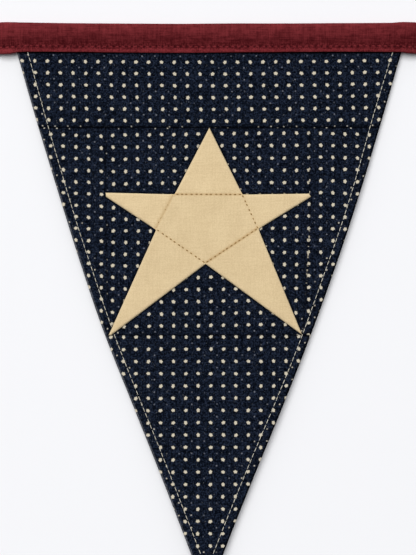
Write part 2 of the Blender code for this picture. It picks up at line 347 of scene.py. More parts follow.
class Shade:
    """One output of a shader node. Sums and products of shades add Math nodes to its tree."""

    def __init__(self, tree, socket=None):
        self.tree = tree
        self.socket = socket

    def node(self, kind, inputs, output=0, stops=None, **settings):
        """Adds a node with its settings, then fills its sockets with shades or plain values."""
        made = self.tree.nodes.new(kind)
        for name, setting in settings.items():
            setattr(made, name, setting)
        for index, (place, colour) in enumerate(stops or ()):
            elements = made.color_ramp.elements
            element = elements[index] if index < len(elements) else elements.new(place)
            element.position = place
            element.color = colour
        for name, given in inputs.items():
            if isinstance(given, Shade):
                self.tree.links.new(given.socket, made.inputs[name])
            else:
                made.inputs[name].default_value = given
        return Shade(self.tree, made.outputs[output])

    def math(self, operation, *others):
        inputs = dict(enumerate((self, *others)))
        return self.node("ShaderNodeMath", inputs, operation=operation)

    def __add__(self, other):
        return self.math("ADD", other)

    def __sub__(self, other):
        return self.math("SUBTRACT", other)

    def __mul__(self, other):
        return self.math("MULTIPLY", other)

    def __rsub__(self, other):
        return self.node("ShaderNodeMath", {0: other, 1: self}, operation="SUBTRACT")

    __radd__ = __add__
    __rmul__ = __mul__

    def ramp(self, low, high, to_low=0.0, to_high=1.0):
        """This value stretched softly from one range to another, and held at its ends."""
        inputs = {"Value": self, "From Min": low, "From Max": high, "To Min": to_low, "To Max": to_high}
        return self.node("ShaderNodeMapRange", inputs, interpolation_type="SMOOTHSTEP")

    def within(self, band):
        """1 from the band's full to its spent, and softly down to 0 at its start and its end."""
        return self.ramp(band.start, band.full) * self.ramp(band.spent, band.end, 1.0, 0.0)

    def mix(self, low, high):
        """The colour between low and high that this share gives."""
        inputs = {0: self, 6: low, 7: high}
        return self.node("ShaderNodeMix", inputs, output=2, data_type="RGBA", clamp_factor=True)


def linear(colour):
    """A colour as seen, out of 255, as the linear values that a material takes."""
    return (*(((value / 255.0 + 0.055) / 1.055) ** 2.4 for value in colour), 1.0)


def new_material(name, roughness):
    """A cloth or thread material, and a shade to build its nodes from."""
    material = bpy.data.materials.new(name)
    material.use_nodes = True
    shader = material.node_tree.nodes["Principled BSDF"]
    shader.inputs["Roughness"].default_value = roughness
    shader.inputs["Specular IOR Level"].default_value = 0.0
    return material, shader, Shade(material.node_tree)


def cloth_places(shade):
    """Millimetres across and down the hanging cloth."""
    place = shade.node("ShaderNodeTexCoord", {}, output="Object")
    mapping = {"Vector": place, "Scale": (1.0 / MM, 1.0 / MM, 1.0 / MM)}
    scaled = shade.node("ShaderNodeMapping", mapping, vector_type="POINT")
    across = scaled.node("ShaderNodeSeparateXYZ", {0: scaled}, output=0)
    depth = scaled.node("ShaderNodeSeparateXYZ", {0: scaled}, output=2) * -1.0
    return across, depth


def marked(shade, name):
    """The 0 to 1 strength in the mesh of a seam's painted shade, an edge's painted highlight and shade, or
    a hem.
    """
    return shade.node("ShaderNodeAttribute", {}, output="Fac", attribute_name=name)


def grain(across, depth, across_width, depth_width, layer):
    """Soft noise from 0 to 1 whose grains have the given width each way, in millimetres."""
    inputs = {"X": across * (1.0 / across_width), "Y": depth * (1.0 / depth_width), "Z": layer}
    place = across.node("ShaderNodeCombineXYZ", inputs)
    noise_inputs = {"Vector": place, "Scale": 1.0, "Detail": 2.0, "Roughness": 0.6}
    return across.node("ShaderNodeTexNoise", noise_inputs)


THREAD_PITCH = 0.42
THREAD_WIDTH = 0.4
THREAD_RUN = 7.0
WEAVE_SHARE = 0.4


def weave(across, depth):
    """The height of a plain weave's threads, and how uneven they are as a shade from 0 to 1."""
    warp = (across * (math.tau / THREAD_PITCH)).math("SINE")
    weft = (depth * (math.tau / THREAD_PITCH)).math("SINE")
    slubs_down = grain(across, depth, THREAD_WIDTH, THREAD_RUN, 1.7)
    slubs_across = grain(across, depth, THREAD_RUN, THREAD_WIDTH, 5.3)
    slubs = (slubs_down + slubs_across) * 0.5
    return warp * weft * WEAVE_SHARE + slubs, slubs


def finish_cloth(shader, colour, height, relief):
    """Joins a cloth's colour and its weave's relief, in millimetres, to its shader."""
    bump = {"Height": height, "Distance": relief * MM, "Strength": 1.0}
    tree = colour.tree
    tree.links.new(colour.socket, shader.inputs["Base Color"])
    tree.links.new(height.node("ShaderNodeBump", bump).socket, shader.inputs["Normal"])


CREAM_LIGHT = (224, 201, 159)
CREAM_DEEP = (208, 184, 143)
CREAM_PAINTED_HIGHLIGHT = (242, 222, 182)
PAINTED_SHADE_TAN = (176, 138, 84)
WRONG_SIDE_LIGHTNESS = 0.9


def cream_cotton(name, lightness):
    """Plain cream cotton with uneven threads and a fine fuzz, each cut a little lighter or darker."""
    material, shader, shade = new_material(name, roughness=0.85)
    across, depth = cloth_places(shade)
    height, slubs = weave(across, depth)
    patches = grain(across, depth, 9.0, 9.0, 2.2)
    fuzz = grain(across, depth, 0.6, 0.6, 3.9)
    tone = slubs.ramp(0.35, 0.65) * 0.45 + patches.ramp(0.3, 0.7) * 0.3
    tone = tone + fuzz.ramp(0.35, 0.65) * 0.5 - 0.125
    deep = [value * lightness for value in linear(CREAM_DEEP)[:3]] + [1.0]
    light = [value * lightness for value in linear(CREAM_LIGHT)[:3]] + [1.0]
    # Painted highlight along each cut's free edges, then painted tan shade along the seams round the middle
    painted_edge_shading = (marked(shade, "painted_edge_shading") * 0.8).mix(tone.mix(deep, light), linear(CREAM_PAINTED_HIGHLIGHT))
    with_seam_shade = (marked(shade, "crease") * (0.5 + slubs * 0.7)).mix(painted_edge_shading, linear(PAINTED_SHADE_TAN))
    finish_cloth(shader, with_seam_shade, height, relief=0.10)
    return material


def cream_sides(name, lightness):
    """The right side of one cut of cream cotton and its wrong side, which is a little darker."""
    right_side = cream_cotton(name + "_right_side", lightness)
    wrong_side = cream_cotton(name + "_wrong_side", lightness * WRONG_SIDE_LIGHTNESS)
    return [right_side, wrong_side]


StarPoint = namedtuple("StarPoint", "name lightness outline")
STAR_POINTS = (
    StarPoint("star_top", 1.03, (NOTCH_UPPER_LEFT, TIP_TOP, NOTCH_UPPER_RIGHT)),
    StarPoint("star_right", 1.0, (NOTCH_UPPER_RIGHT, TIP_RIGHT, TIP_RIGHT_LOW, NOTCH_RIGHT)),
    StarPoint("star_lower_right", 0.99, (NOTCH_RIGHT, TIP_LOWER_RIGHT, NOTCH_BOTTOM)),
    StarPoint("star_lower_left", 1.0, (NOTCH_BOTTOM, TIP_LOWER_LEFT_INNER, TIP_LOWER_LEFT, NOTCH_LEFT)),
    StarPoint("star_left", 1.045, (NOTCH_LEFT, TIP_LEFT_LOW, TIP_LEFT, NOTCH_UPPER_LEFT)),
)
STAR_EDGE_DROP = 0.85
DITCH_DROP = 0.10

# The stitching in the middle's seams: how far outside each seam it strays, how dark a painted shade makes
# the seam there and how far the stitches sink in
Ditch = namedtuple("Ditch", "outward crease sunk")
DITCHES = (
    Ditch(outward=0.0, crease=0.50, sunk=0.0),
    Ditch(outward=-0.22, crease=0.10, sunk=0.12),
    Ditch(outward=-0.46, crease=0.66, sunk=0.02),
    Ditch(outward=-0.27, crease=0.18, sunk=0.06),
    Ditch(outward=0.52, crease=0.50, sunk=0.25),
)


def stitched_seam(ditch, start, end):
    """The seam's row of stitches, which runs beside the straight line between its two notches."""
    run = Vector(end) - Vector(start)
    aside = Vector((run.y, -run.x)).normalized() * ditch.outward
    return Seam(Corner(*(Vector(start) + aside)), Corner(*(Vector(end) + aside)), DITCH_DROP, ditch.crease)


star_rows = [stitched_seam(ditch, *edge) for ditch, edge in zip(DITCHES, edges_of(NOTCHES))]
flat, flags, border = flat_patch(NOTCHES)
drape_patch(flat, flags, border, STAR_PROUD, DITCH_DROP, star_rows)
add_cloth("star_middle_cloth", flat, cream_sides("star_middle", 1.0), [NOTCHES])
for point in STAR_POINTS:
    flat, flags, border = flat_patch(point.outline)
    drape_patch(flat, flags, border, STAR_PROUD, STAR_EDGE_DROP, star_rows)
    point_materials = cream_sides(point.name, point.lightness)
    add_cloth(point.name + "_cloth", flat, point_materials, [point.outline])

# The ground: nine cuts of navy cotton printed with small cream dots, five round the star, one strip at
# each side, one above and the point below. The outer ones are hemmed to the back at the side edges.
PENNANT_TOP = 1.9
EDGE_STEP = 4.0
HALVINGS = 30
BLOCK_TOP_LEFT = Corner(-42.3, TOP_SEAM)
BLOCK_TOP_RIGHT = Corner(41.0, TOP_SEAM)
LEFT_SEAM_MIDDLE = Corner(-41.8, 99.2)
RIGHT_SEAM_MIDDLE = Corner(40.35, 99.2)

# The printed dots, by cut: where one dot lies, the steps to its neighbours, how the rows and columns lean
# and how far the rows bow
Print = namedtuple("Print", "across depth step_across step_down row_lean column_lean dip")
PRINTS = {
    "top_strip": Print(-82.55, -8.10, 5.200, 4.819, -0.001, 0.028, 0.6),
    "patch_top_left": Print(-85.41, -7.80, 5.005, 4.970, -0.016, 0.017, 0.0),
    "patch_top_right": Print(-81.66, -5.19, 5.091, 5.056, -0.001, 0.007, 0.0),
    "patch_left": Print(-83.89, -5.72, 5.084, 4.768, 0.009, -0.012, 0.0),
    "patch_right": Print(-81.75, -4.95, 4.945, 4.937, 0.002, -0.011, 0.0),
    "patch_bottom": Print(-85.93, -7.19, 5.079, 4.904, -0.015, 0.003, 0.0),
    "left_strip": Print(-85.52, -7.83, 5.173, 4.765, 0.048, 0.0, 0.0),
    "right_strip": Print(-84.16, -11.78, 4.992, 4.861, 0.028, 0.001, 0.0),
    "bottom_panel": Print(0.84, 128.60, 5.125, 5.023, -0.005, -0.004, 0.0),
}
DOT_RADIUS = 0.68
DOT_EDGE = 0.16
DOT_LOBES = 5.0
DOT_LOBE_SHARE = 0.12
DOT_LUMP_SHARE = 0.10
DOT_STRAY = 0.16
DOT_SIZE_LEAST = 0.95
DOT_SIZE_SPREAD = 0.10
DOT_LAYER = 0.5
SPECK_RADIUS = 0.28
SPECK_LAYER = 9.5
PRINT_DRIFT = 0.35
PRINT_HALF_WIDTH = 75.0
NAVY_DEEP = (2, 6, 13)
NAVY_LIGHT = (42, 51, 70)
FLECK_AND_HIGHLIGHT_GREY = (108, 110, 116)
PAINTED_SHADE_BLACK = (3, 4, 8)
SPECK_GREY = (112, 115, 124)
DOT_CREAM = (208, 198, 176)
WRONG_NAVY_DEEP = (30, 36, 50)
WRONG_NAVY_LIGHT = (52, 59, 76)
WRONG_SIDE_INK = 0.35

# The painted shadow line under the tape, how softly the painted highlight on the left edge turns into the
# painted shade on the right one at the middle, and the stretch of the right upright seam in which cut dots
# show
TAPE_SHADOW_TO = 12.25
TAPE_SHADOW_FADE = 0.6
MIDDLE_BLEND = 5.0
Band = namedtuple("Band", "start full spent end")
CUT_DOTS_ACROSS = Band(start=38.0, full=39.0, spent=43.0, end=44.0)
CUT_DOTS_DOWN = Band(start=83.0, full=87.0, spent=106.0, end=112.0)


def side_edge(side, top, bottom, inward=0.0):
    """Corners down one side edge from top to bottom, moved towards the middle by inward."""
    steps = math.ceil((bottom - top) / EDGE_STEP)
    towards = inward if side == "left" else -inward
    depths = [top + (bottom - top) * step / steps for step in range(steps + 1)]
    return [Corner(read_table(SIDES, side, depth) + towards, depth) for depth in depths]


def depth_where_spent(room, low, high):
    """The depth between low and high where room, which shrinks downwards, is used up."""
    for _ in range(HALVINGS):
        middle = (low + high) / 2.0
        if room(middle) > 0.0:
            low = middle
        else:
            high = middle
    return low


def top_strip_outlines():
    """The strip under the tape, hemmed at both ends."""
    left = side_edge("left", PENNANT_TOP, TOP_SEAM)
    right = side_edge("right", PENNANT_TOP, TOP_SEAM)
    left_hem = side_edge("left", PENNANT_TOP, TOP_SEAM, inward=HEM_ACROSS)
    right_hem = side_edge("right", PENNANT_TOP, TOP_SEAM, inward=HEM_ACROSS)
    return left_hem + right_hem[::-1], (left + left_hem[::-1], right + right_hem[::-1])


def side_strip_outlines(side, block_top, star_tip, seam_middle, block_bottom):
    """A tapering strip beside the block, whose hem runs out where the strip gets narrower than it."""

    def seam_across(depth):
        share = (depth - seam_middle.depth) / (block_bottom.depth - seam_middle.depth)
        return seam_middle.across + share * (block_bottom.across - seam_middle.across)

    def cloth_inside_hem(depth):
        return abs(read_table(SIDES, side, depth)) - HEM_ACROSS - abs(seam_across(depth))

    hem_end = depth_where_spent(cloth_inside_hem, seam_middle.depth, block_bottom.depth)
    edge = side_edge(side, TOP_SEAM, block_bottom.depth)
    hem_line = side_edge(side, TOP_SEAM, hem_end, inward=HEM_ACROSS)[:-1]
    hem_line.append(Corner(seam_across(hem_end), hem_end))
    return hem_line + [seam_middle, *star_tip, block_top], (edge + [block_bottom] + hem_line[::-1],)


def bottom_panel_outlines():
    """The point under the block: its two hems meet down the middle."""

    def cloth_inside_hems(depth):
        return read_table(SIDES, "right", depth) - read_table(SIDES, "left", depth) - 2.0 * HEM_ACROSS

    tip_depth = SIDES[-1].depth
    left = side_edge("left", TIP_LOWER_LEFT.depth, tip_depth)
    right = side_edge("right", TIP_LOWER_RIGHT.depth, tip_depth)
    hem_end = depth_where_spent(cloth_inside_hems, TIP_LOWER_LEFT.depth, tip_depth)
    left_line = side_edge("left", TIP_LOWER_LEFT.depth, hem_end, inward=HEM_ACROSS)
    right_line = side_edge("right", TIP_LOWER_RIGHT.depth, hem_end, inward=HEM_ACROSS)
    left_line[-1] = right_line[-1]
    cloth = left_line + right_line[-2::-1]
    return cloth, (left + left_line[::-1], right + right_line[::-1])


def spots(across_steps, depth_steps, printing, radius, layer):
    """A mask of round lobed spots, one at each whole step, and the chance that makes each one differ."""
    column = across_steps.math("ROUND")
    row = depth_steps.math("ROUND")
    cell = column.node("ShaderNodeCombineXYZ", {"X": column, "Y": row, "Z": layer})
    chance = cell.node("ShaderNodeTexWhiteNoise", {"Vector": cell}, output="Value", noise_dimensions="3D")
    beside = (across_steps - column) * printing.step_across + (chance - 0.5) * DOT_STRAY
    below = (depth_steps - row) * printing.step_down + ((chance * 7.0).math("FRACT") - 0.5) * DOT_STRAY
    away = (beside * beside + below * below).math("SQRT")
    angle = below.math("ARCTAN2", beside)
    lobed = (angle * DOT_LOBES + chance * 40.0).math("COSINE") * DOT_LOBE_SHARE
    lumpy = (angle * 2.0 + chance * 90.0).math("COSINE") * DOT_LUMP_SHARE
    size = (chance * 3.0).math("FRACT") * DOT_SIZE_SPREAD + DOT_SIZE_LEAST
    reach = (1.0 + lobed + lumpy) * size * radius
    return (reach - away).ramp(-DOT_EDGE, DOT_EDGE), chance


def dotted_cotton(name, printing, deep, light, dot_strength):
    """Navy cotton printed with cream dots in rows and a faint speck in the middle of each four."""
    material, shader, shade = new_material(name, roughness=0.9)
    across, depth = cloth_places(shade)
    height, slubs = weave(across, depth)
    drift_across = (grain(across, depth, 31.0, 31.0, 3.1) - 0.5) * PRINT_DRIFT
    drift_down = (grain(across, depth, 27.0, 27.0, 8.4) - 0.5) * PRINT_DRIFT
    dip = across * across * (printing.dip / PRINT_HALF_WIDTH ** 2) - printing.dip / 3.0
    beside = across - printing.across + drift_across
    below = depth - printing.depth + drift_down + dip
    whole = 1.0 - printing.row_lean * printing.column_lean
    columns = (beside - below * printing.column_lean) * (1.0 / (whole * printing.step_across))
    rows = (below - beside * printing.row_lean) * (1.0 / (whole * printing.step_down))
    dots, _ = spots(columns, rows, printing, DOT_RADIUS, DOT_LAYER)
    specks, chance = spots(columns + 0.5, rows + 0.5, printing, SPECK_RADIUS, SPECK_LAYER)
    fuzz = grain(across, depth, 0.6, 0.6, 6.6).ramp(0.42, 0.70)
    tone = slubs.ramp(0.42, 0.72) * 0.30 + fuzz * 0.70
    flecks = grain(across, depth, 0.5, 0.9, 12.3).ramp(0.66, 0.76) * 0.7
    ground = flecks.mix(tone.mix(linear(deep), linear(light)), linear(FLECK_AND_HIGHLIGHT_GREY))

    # Painted highlight on the left side edge, painted shade on the right one and in the seams,
    # and a painted shadow line under the tape
    edge = marked(shade, "painted_edge_shading").ramp(0.0, 0.12)
    left_half = across.ramp(-MIDDLE_BLEND, MIDDLE_BLEND, 1.0, 0.0)
    ground = (edge * left_half * (0.32 + fuzz * 0.5)).mix(ground, linear(FLECK_AND_HIGHLIGHT_GREY))
    ground = (edge * (1.0 - left_half) * 0.85).mix(ground, linear(PAINTED_SHADE_BLACK))
    # A painted shadow line under the tape's lip
    painted_tape_shadow = depth.ramp(TAPE_SHADOW_TO, TAPE_SHADOW_TO + TAPE_SHADOW_FADE, 1.0, 0.0)
    crease = marked(shade, "crease").math("MAXIMUM", painted_tape_shadow)
    ground = crease.mix(ground, linear(PAINTED_SHADE_BLACK))

    # The specks, which show as cream bits in the hems and seams, and the cut dots in the right upright seam
    ground = (specks * (chance - 0.25).ramp(0.0, 0.8)).mix(ground, linear(SPECK_GREY))
    beside_fold = marked(shade, "hemmed").math("MAXIMUM", crease.ramp(0.1, 0.4))
    bits = specks * (chance - 0.45).ramp(0.0, 0.2) * beside_fold
    ground = (bits * 0.7).mix(ground, linear(DOT_CREAM))
    in_seam = crease.ramp(0.22, 0.42) * across.within(CUT_DOTS_ACROSS) * depth.within(CUT_DOTS_DOWN)
    cut_dots = in_seam * grain(across, depth, 4.0, 0.9, 15.8).ramp(0.51, 0.61)
    ground = (cut_dots * 0.8).mix(ground, linear(DOT_CREAM))

    worn = (dots * (0.86 + slubs * 0.28)).math("MINIMUM", 1.0)
    # The dots are dimmed under the painted seam shade
    ink = (worn * dot_strength * (1.0 - crease * 0.5)).mix(ground, linear(DOT_CREAM))
    finish_cloth(shader, ink, height, relief=0.12)
    return material


ground_outlines = {
    "patch_top_left": ((BLOCK_TOP_LEFT, TIP_TOP, NOTCH_UPPER_LEFT, TIP_LEFT), ()),
    "patch_top_right": ((TIP_TOP, BLOCK_TOP_RIGHT, TIP_RIGHT, NOTCH_UPPER_RIGHT), ()),
    "patch_left": ((TIP_LEFT_LOW, NOTCH_LEFT, TIP_LOWER_LEFT, LEFT_SEAM_MIDDLE), ()),
    "patch_right": ((TIP_RIGHT_LOW, RIGHT_SEAM_MIDDLE, TIP_LOWER_RIGHT, NOTCH_RIGHT), ()),
    "patch_bottom": ((TIP_LOWER_LEFT_INNER, NOTCH_BOTTOM, TIP_LOWER_RIGHT), ()),
    "left_strip": side_strip_outlines(
        "left", BLOCK_TOP_LEFT, (TIP_LEFT_LOW, TIP_LEFT), LEFT_SEAM_MIDDLE, TIP_LOWER_LEFT
    ),
    "right_strip": side_strip_outlines(
        "right", BLOCK_TOP_RIGHT, (TIP_RIGHT_LOW, TIP_RIGHT), RIGHT_SEAM_MIDDLE, TIP_LOWER_RIGHT
    ),
    "top_strip": top_strip_outlines(),
    "bottom_panel": bottom_panel_outlines(),
}
FREE_EDGE_DROP = 0.45
# How far the cloth drops into each kind of seam, and how dark a painted shade makes it
beside_star = dict(drop=0.52, crease=0.85)
upright = dict(drop=0.20, crease=0.45)
over_point = dict(drop=0.33, crease=0.50)
top_seam = Seam(Corner(-80.0, TOP_SEAM), Corner(80.0, TOP_SEAM), drop=0.50, crease=0.85)
point_seam = Seam(TIP_LOWER_LEFT, TIP_LOWER_RIGHT, **over_point)
left_seams = [
    Seam(BLOCK_TOP_LEFT, TIP_LEFT, **upright),
    Seam(TIP_LEFT_LOW, LEFT_SEAM_MIDDLE, **upright),
    Seam(LEFT_SEAM_MIDDLE, TIP_LOWER_LEFT, **upright),
]
right_seams = [
    Seam(BLOCK_TOP_RIGHT, TIP_RIGHT, **upright),
    Seam(TIP_RIGHT_LOW, RIGHT_SEAM_MIDDLE, **upright),
    Seam(RIGHT_SEAM_MIDDLE, TIP_LOWER_RIGHT, **upright),
]
star_seams = [
    Seam(start, end, **beside_star) for point in STAR_POINTS for start, end in edges_of(point.outline)[:-1]
]
every_seam = [top_seam, point_seam, *left_seams, *right_seams, *star_seams]
for name, (cloth, hems) in ground_outlines.items():
    printing = PRINTS[name]
    navy_materials = [
        dotted_cotton(name + "_right_side", printing, NAVY_DEEP, NAVY_LIGHT, 1.0),
        dotted_cotton(name + "_wrong_side", printing, WRONG_NAVY_DEEP, WRONG_NAVY_LIGHT, WRONG_SIDE_INK),
    ]
    flat, flags, border = flat_patch(cloth, hems)
    drape_patch(flat, flags, border, 0.0, FREE_EDGE_DROP, every_seam)
    add_cloth(name + "_cloth", flat, navy_materials, [cloth, *hems])

# The binding: burgundy cotton tape, pressed in half and folded over the pennant's top.
# It bulges above its row of stitching, flares below it, and runs on flat at both sides.

# How high its two edges lie along its length
Run = namedtuple("Run", "along top bottom")
TAPE_RUN = (
    Run(along=-129.0, top=0.45, bottom=-12.35),
    Run(along=-105.0, top=0.25, bottom=-12.60),
    Run(along=-85.3, top=0.38, bottom=-12.50),
    Run(along=-81.3, top=0.38, bottom=-12.35),
    Run(along=-77.4, top=0.28, bottom=-11.70),
    Run(along=-56.6, top=-0.04, bottom=-11.74),
    Run(along=-36.1, top=-0.18, bottom=-11.92),
    Run(along=-11.5, top=-0.30, bottom=-12.09),
    Run(along=9.0, top=-0.14, bottom=-11.89),
    Run(along=27.5, top=-0.16, bottom=-11.77),
    Run(along=58.2, top=0.00, bottom=-11.64),
    Run(along=74.6, top=0.12, bottom=-11.72),
    Run(along=78.7, top=0.42, bottom=-11.75),
    Run(along=83.4, top=0.37, bottom=-12.30),
    Run(along=105.0, top=0.20, bottom=-12.50),
    Run(along=129.0, top=0.40, bottom=-12.40),
)
TAPE_HEIGHT = 12.0

# Its section: up the front leaf's face, over the fold, down the back leaf, and back up and down inside
Point = namedtuple("Point", "out down")
TAPE_SECTION = (
    Point(out=-1.60, down=12.38),
    Point(out=-1.84, down=12.18),
    Point(out=-1.92, down=11.75),
    Point(out=-1.84, down=11.25),
    Point(out=-1.60, down=10.70),
    Point(out=-1.28, down=10.18),
    Point(out=-1.08, down=9.85),
    Point(out=-1.02, down=9.60),
    Point(out=-1.10, down=9.25),
    Point(out=-1.40, down=8.50),
    Point(out=-1.74, down=7.60),
    Point(out=-2.03, down=6.60),
    Point(out=-2.26, down=5.60),
    Point(out=-2.41, down=4.55),
    Point(out=-2.47, down=3.50),
    Point(out=-2.42, down=2.65),
    Point(out=-2.25, down=1.85),
    Point(out=-1.96, down=1.18),
    Point(out=-1.52, down=0.60),
    Point(out=-0.98, down=0.24),
    Point(out=-0.35, down=0.05),
    Point(out=0.35, down=0.02),
    Point(out=1.05, down=0.25),
    Point(out=1.65, down=0.75),
    Point(out=2.05, down=1.50),
    Point(out=2.25, down=2.60),
    Point(out=2.28, down=5.50),
    Point(out=2.22, down=9.00),
    Point(out=2.12, down=9.60),
    Point(out=2.22, down=10.20),
    Point(out=2.28, down=11.60),
    Point(out=2.20, down=11.90),
    Point(out=1.85, down=11.90),
    Point(out=1.72, down=11.60),
    Point(out=1.60, down=9.60),
    Point(out=1.72, down=5.50),
    Point(out=1.60, down=2.20),
    Point(out=0.90, down=1.00),
    Point(out=0.20, down=0.70),
    Point(out=-0.60, down=0.95),
    Point(out=-1.35, down=1.70),
    Point(out=-1.85, down=3.20),
    Point(out=-1.80, down=5.20),
    Point(out=-1.35, down=7.50),
    Point(out=-0.80, down=8.90),
    Point(out=-0.68, down=9.60),
    Point(out=-0.82, down=10.30),
    Point(out=-1.20, down=11.20),
    Point(out=-1.42, down=11.90),
    Point(out=-1.44, down=12.28),
)
TAPE_STEP = 0.62
SLOT_FRONT = -0.90
SLOT_BACK = 1.30
TAIL_DROP = 2.2
TAIL_FROM = 83.0
TAIL_OVER = 6.0
TAPE_STITCH_DOWN = 9.85
TAPE_STITCH_PITCH = 2.5
TAPE_PUCKER = 0.14
PULL_HALF_WIDTH = 1.1
LIP_DOWN = 11.4
LIP_HALF_WIDTH = 0.7
LIP_SHARE = 0.6
Lump = namedtuple("Lump", "height length width layer")
TAPE_LUMPS = (
    Lump(height=0.22, length=11.0, width=6.0, layer=3.0),
    Lump(height=0.11, length=3.6, width=3.0, layer=8.0),
)

# Where the tape's colour changes: the left tail is lighter and the right one darker, both folds carry a
# painted highlight, and a painted shade darkens the hollow above the stitching
TAIL_START = 76.0
TAIL_FULL = 86.0
LEFT_TAIL_LIGHTER = 0.15
RIGHT_TAIL_DARKER = 0.16
TOP_FOLD_TO = 1.8
TOP_FOLD_LIGHTER = 0.18
LOWER_FOLD_FROM = 11.0
LOWER_FOLD_FULL = 11.7
LOWER_FOLD_LIGHTER = 0.09
HOLLOW = Band(start=2.0, full=8.8, spent=10.4, end=11.3)
HOLLOW_DARKER = 0.31
BURGUNDY_DEEP = (70, 18, 22)
BURGUNDY_LIGHT = (130, 49, 53)
NEEDLE_HOLE_SHADE = (44, 10, 14)


def tape_slack(along):
    """1 where the tape has no cloth inside and lies flat on itself, 0 over the pennant."""
    return smooth_step((abs(along) - TAIL_FROM) / TAIL_OVER)


def tape_shape(along, out, down):
    """Where a point of the straight tape's section lies on the real, uneven tape: its Y and Z."""
    top = read_table(TAPE_RUN, "top", along)
    bottom = read_table(TAPE_RUN, "bottom", along)
    front_share = min(max((SLOT_BACK - out) / (SLOT_BACK - SLOT_FRONT), 0.0), 1.0)
    beside_stitch = math.exp(-(((down - TAPE_STITCH_DOWN) / PULL_HALF_WIDTH) ** 2))
    lip = math.exp(-(((down - LIP_DOWN) / LIP_HALF_WIDTH) ** 2))
    beat = math.cos(math.tau * along / TAPE_STITCH_PITCH)
    pull = TAPE_PUCKER * beat * (beside_stitch - LIP_SHARE * lip)
    uneven = sum(
        lump.height * noise.noise(Vector((along / lump.length, down / lump.width, lump.layer)))
        for lump in TAPE_LUMPS
    )
    held = 1.0 - beside_stitch
    out += (TAIL_DROP * tape_slack(along) + pull + uneven * held) * front_share
    return out, top - (top - bottom) * down / TAPE_HEIGHT


def tape_cotton():
    """Burgundy cotton with painted shade in its hollow and needle holes, and painted highlights on both
    folds.
    """
    material, shader, shade = new_material("burgundy_tape_cotton", roughness=0.85)
    across, depth = cloth_places(shade)
    height, slubs = weave(across, depth)
    mottle = grain(across, depth, 3.0, 2.0, 4.4).ramp(0.3, 0.7)
    fuzz = grain(across, depth, 0.5, 0.8, 9.1).ramp(0.35, 0.65)
    pulled = depth.ramp(7.5, 9.2)
    left_tail = across.ramp(-TAIL_FULL, -TAIL_START, LEFT_TAIL_LIGHTER, 0.0)
    right_tail = across.ramp(TAIL_START, TAIL_FULL, 0.0, RIGHT_TAIL_DARKER)
    # Painted highlights on the top fold and on the lip of the lower fold
    top_fold = depth.ramp(0.0, TOP_FOLD_TO, TOP_FOLD_LIGHTER, 0.0)
    lower_fold = depth.ramp(LOWER_FOLD_FROM, LOWER_FOLD_FULL, 0.0, LOWER_FOLD_LIGHTER)
    tail_tone_and_fold_highlights = left_tail - right_tail + top_fold + lower_fold
    tone = slubs.ramp(0.36, 0.66) * 0.40 + mottle * 0.32 + tail_tone_and_fold_highlights + 0.21
    # Painted shade in the hollow above the stitching
    tone = tone - depth.within(HOLLOW) * HOLLOW_DARKER
    tone = tone + (fuzz - 0.5) * (0.12 + pulled * 0.36)
    along = across - TAPE_RUN[0].along
    # Painted shade in the needle holes between the stitches
    shaded_holes = (along * (math.tau / TAPE_STITCH_PITCH)).math("COSINE").ramp(0.2, 0.9)
    row = 1.0 - (depth - TAPE_STITCH_DOWN).math("ABSOLUTE").ramp(0.25, 0.65)
    cotton = tone.mix(linear(BURGUNDY_DEEP), linear(BURGUNDY_LIGHT))
    colour = (shaded_holes * row * 0.7).mix(cotton, linear(NEEDLE_HOLE_SHADE))
    finish_cloth(shader, colour, height, relief=0.14)
    return material


tape = bmesh.new()
tape_start = TAPE_RUN[0].along
tape_end = TAPE_RUN[-1].along
steps = round((tape_end - tape_start) / TAPE_STEP)
ring = [tape.verts.new((tape_start, point.out, -point.down)) for point in TAPE_SECTION]
edges = [tape.edges.new((ring[index - 1], vert)) for index, vert in enumerate(ring)]
bmesh.ops.edgeloop_fill(tape, edges=edges)
for step in range(steps):
    made = bmesh.ops.extrude_edge_only(tape, edges=edges)["geom"]
    moved = [item for item in made if isinstance(item, bmesh.types.BMVert)]
    edges = [item for item in made if isinstance(item, bmesh.types.BMEdge) and item.is_boundary]
    bmesh.ops.translate(tape, verts=moved, vec=((tape_end - tape_start) / steps, 0.0, 0.0))
bmesh.ops.edgeloop_fill(tape, edges=edges)
for vert in tape.verts:
    vert.co.y, vert.co.z = tape_shape(vert.co.x, vert.co.y, -vert.co.z)
bmesh.ops.recalc_face_normals(tape, faces=tape.faces[:])
tape_piece = add_piece("tape", tape, [tape_cotton()])
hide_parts("binding_tape")
(tape_end - tape_start) * MM

# The thread: tan in the ditch round the star's middle, cream along both side hems and burgundy through
# the tape. Each stitch is one short bar of twisted thread that dives into the cloth at both ends.
Stitch = namedtuple("Stitch", "pitch length width lift")
TOP_STITCH = Stitch(pitch=2.46, length=2.05, width=0.25, lift=0.07)
STAR_STITCH = Stitch(pitch=2.02, length=1.05, width=0.52, lift=0.03)
TAPE_STITCH = Stitch(pitch=TAPE_STITCH_PITCH, length=1.6, width=0.42, lift=0.05)
THREAD_SIDES = 8
THREAD_RINGS = 6
THREAD_TWIST = 0.35
TOPSTITCH_START = 10.5
TOPSTITCH_END = 225.5
CREAM_THREAD_DEEP = (204, 198, 180)
CREAM_THREAD_LIGHT = (236, 231, 214)
TAN_THREAD_DEEP = (132, 104, 62)
TAN_THREAD_LIGHT = (176, 142, 90)
BURGUNDY_THREAD_DEEP = (100, 32, 37)
BURGUNDY_THREAD_LIGHT = (144, 58, 62)

# How far the stitches stray from their even row: in slant, in place along it and in how deep they sink
STITCH_SEED = 11
TOP_STITCH_SLANT = 0.04
STAR_STITCH_STRAY = 0.12
STAR_STITCH_SINK = (-0.03, 0.05)
STAR_STITCH_SLANT = 1.5
TAPE_STITCH_SLANT = (-0.12, 0.02)

